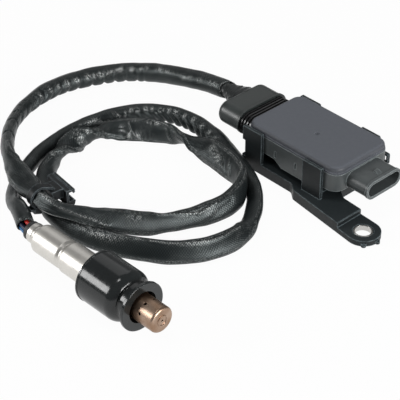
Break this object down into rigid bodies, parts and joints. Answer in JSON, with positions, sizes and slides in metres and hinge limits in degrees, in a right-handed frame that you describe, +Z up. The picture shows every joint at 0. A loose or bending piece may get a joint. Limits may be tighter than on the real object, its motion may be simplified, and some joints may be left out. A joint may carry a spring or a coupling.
{
  "type": "nitrogen oxide sensor",
  "caption": "Exhaust gas probe under a black thread cap, on a looped sleeved cable from a flat control module that sits in a clip-on bracket.",
  "frame": {"origin": "centre of the mounting ear's hole, on the bracket's flat underside", "axes": "+X along the control module towards its plug socket, +Y across it away from the ear's side, +Z up"},
  "size_m": [0.2378, 0.1993, 0.0287],
  "materials": {
    "housing_plastic": "moulded",
    "lid_plastic": "fine grain",
    "seal_rubber": "glossy",
    "board_green": "lacquered",
    "chip_black": "moulded",
    "can_metal": "satin",
    "pin_metal": "tinned",
    "boot_rubber": "satin",
    "tape": "matte",
    "bracket_plastic": "moulded",
    "screw_steel": "machined",
    "sleeve_weave": "woven",
    "tie_plastic": "moulded",
    "grommet_rubber": "satin",
    "probe_steel": "satin",
    "cap_plastic": "polished",
    "tip_steel": "heat tinted",
    "ceramic_white": "fired ceramic",
    "talc_grey": "pressed talc powder",
    "wire_white": "smooth",
    "wire_red": "smooth",
    "wire_navy": "smooth",
    "wire_blue": "smooth",
    "wire_black": "smooth",
    "wire_grey": "smooth"
  },
  "bodies": {
    "sensor": {"control_housing": "housing_plastic", "housing_lid": "lid_plastic", "lid_seal": "seal_rubber", "circuit_board": "board_green", "board_chips": "chip_black", "board_capacitors": "can_metal", "connector_pins": "pin_metal", "cable_boot": "boot_rubber", "boot_seal": "seal_rubber", "boot_wrap": "tape", "mount_bracket": "bracket_plastic", "bracket_bushing": "screw_steel", "cable_sleeve": "sleeve_weave", "cable_tie": "tie_plastic", "edge_clip": "tie_plastic", "cable_grommet": "grommet_rubber", "rear_shell": "probe_steel", "front_shell": "probe_steel", "probe_body": "screw_steel", "protection_tube_outer": "tip_steel", "protection_tube_inner": "tip_steel", "sensing_element": "ceramic_white", "contact_holder": "ceramic_white", "contact_springs": "pin_metal", "ceramic_holder_rear": "ceramic_white", "talc_packing": "talc_grey", "ceramic_holder_front": "ceramic_white", "wire_white": "wire_white", "wire_red": "wire_red", "wire_navy": "wire_navy", "wire_blue": "wire_blue", "wire_black": "wire_black", "wire_grey": "wire_grey"},
    "fitting": {"union_screw": "screw_steel", "protective_cap": "cap_plastic"}
  },
  "joints": [
    {"name": "union_screw_spin", "type": "hinge", "parent": "sensor", "child": "fitting", "pos_m": [-0.04561, -0.13665, 0.01435], "axis": [0.9998, 0.0192, 0], "continuous": true}
  ]
}
